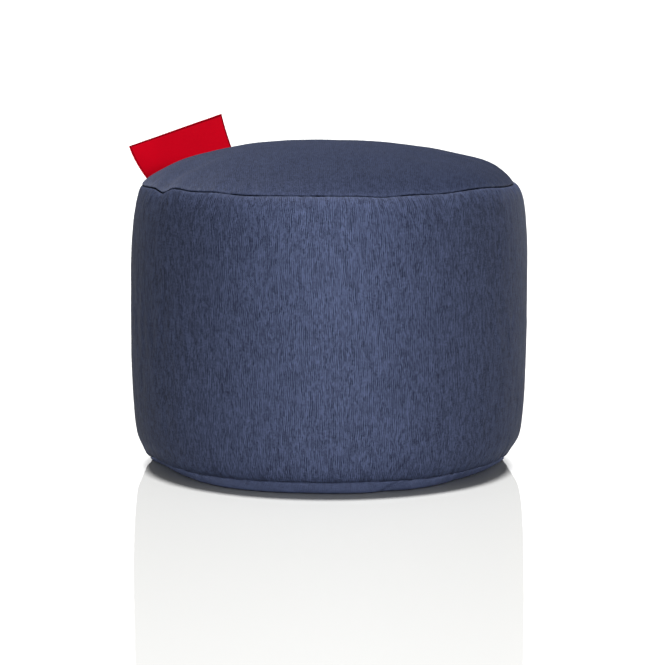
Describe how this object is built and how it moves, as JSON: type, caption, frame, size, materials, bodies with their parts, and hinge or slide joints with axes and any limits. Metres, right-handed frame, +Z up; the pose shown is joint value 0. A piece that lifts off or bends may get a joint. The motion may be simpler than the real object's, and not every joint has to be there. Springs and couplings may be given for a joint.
{
  "type": "bean bag footstool",
  "caption": "Round filled canvas drum with a domed top panel, sewn top and bottom seams and a label in the top seam; a low seat or footrest that stands on the floor.",
  "frame": {"origin": "centre of the flat resting face on the floor, on the drum's axis", "axes": "+Z up along the drum's axis, -Y towards the front, +X to the right seen from the front; the label stands at the back left"},
  "size_m": [0.508, 0.4989, 0.4313],
  "materials": {
    "canvas": "matt, fine plain weave",
    "label_tape": "smooth woven tape, soft sheen"
  },
  "bodies": {
    "root": {"top_panel": "canvas", "side_band": "canvas", "bottom_panel": "canvas", "label_tag": "label_tape"}
  },
  "joints": []
}
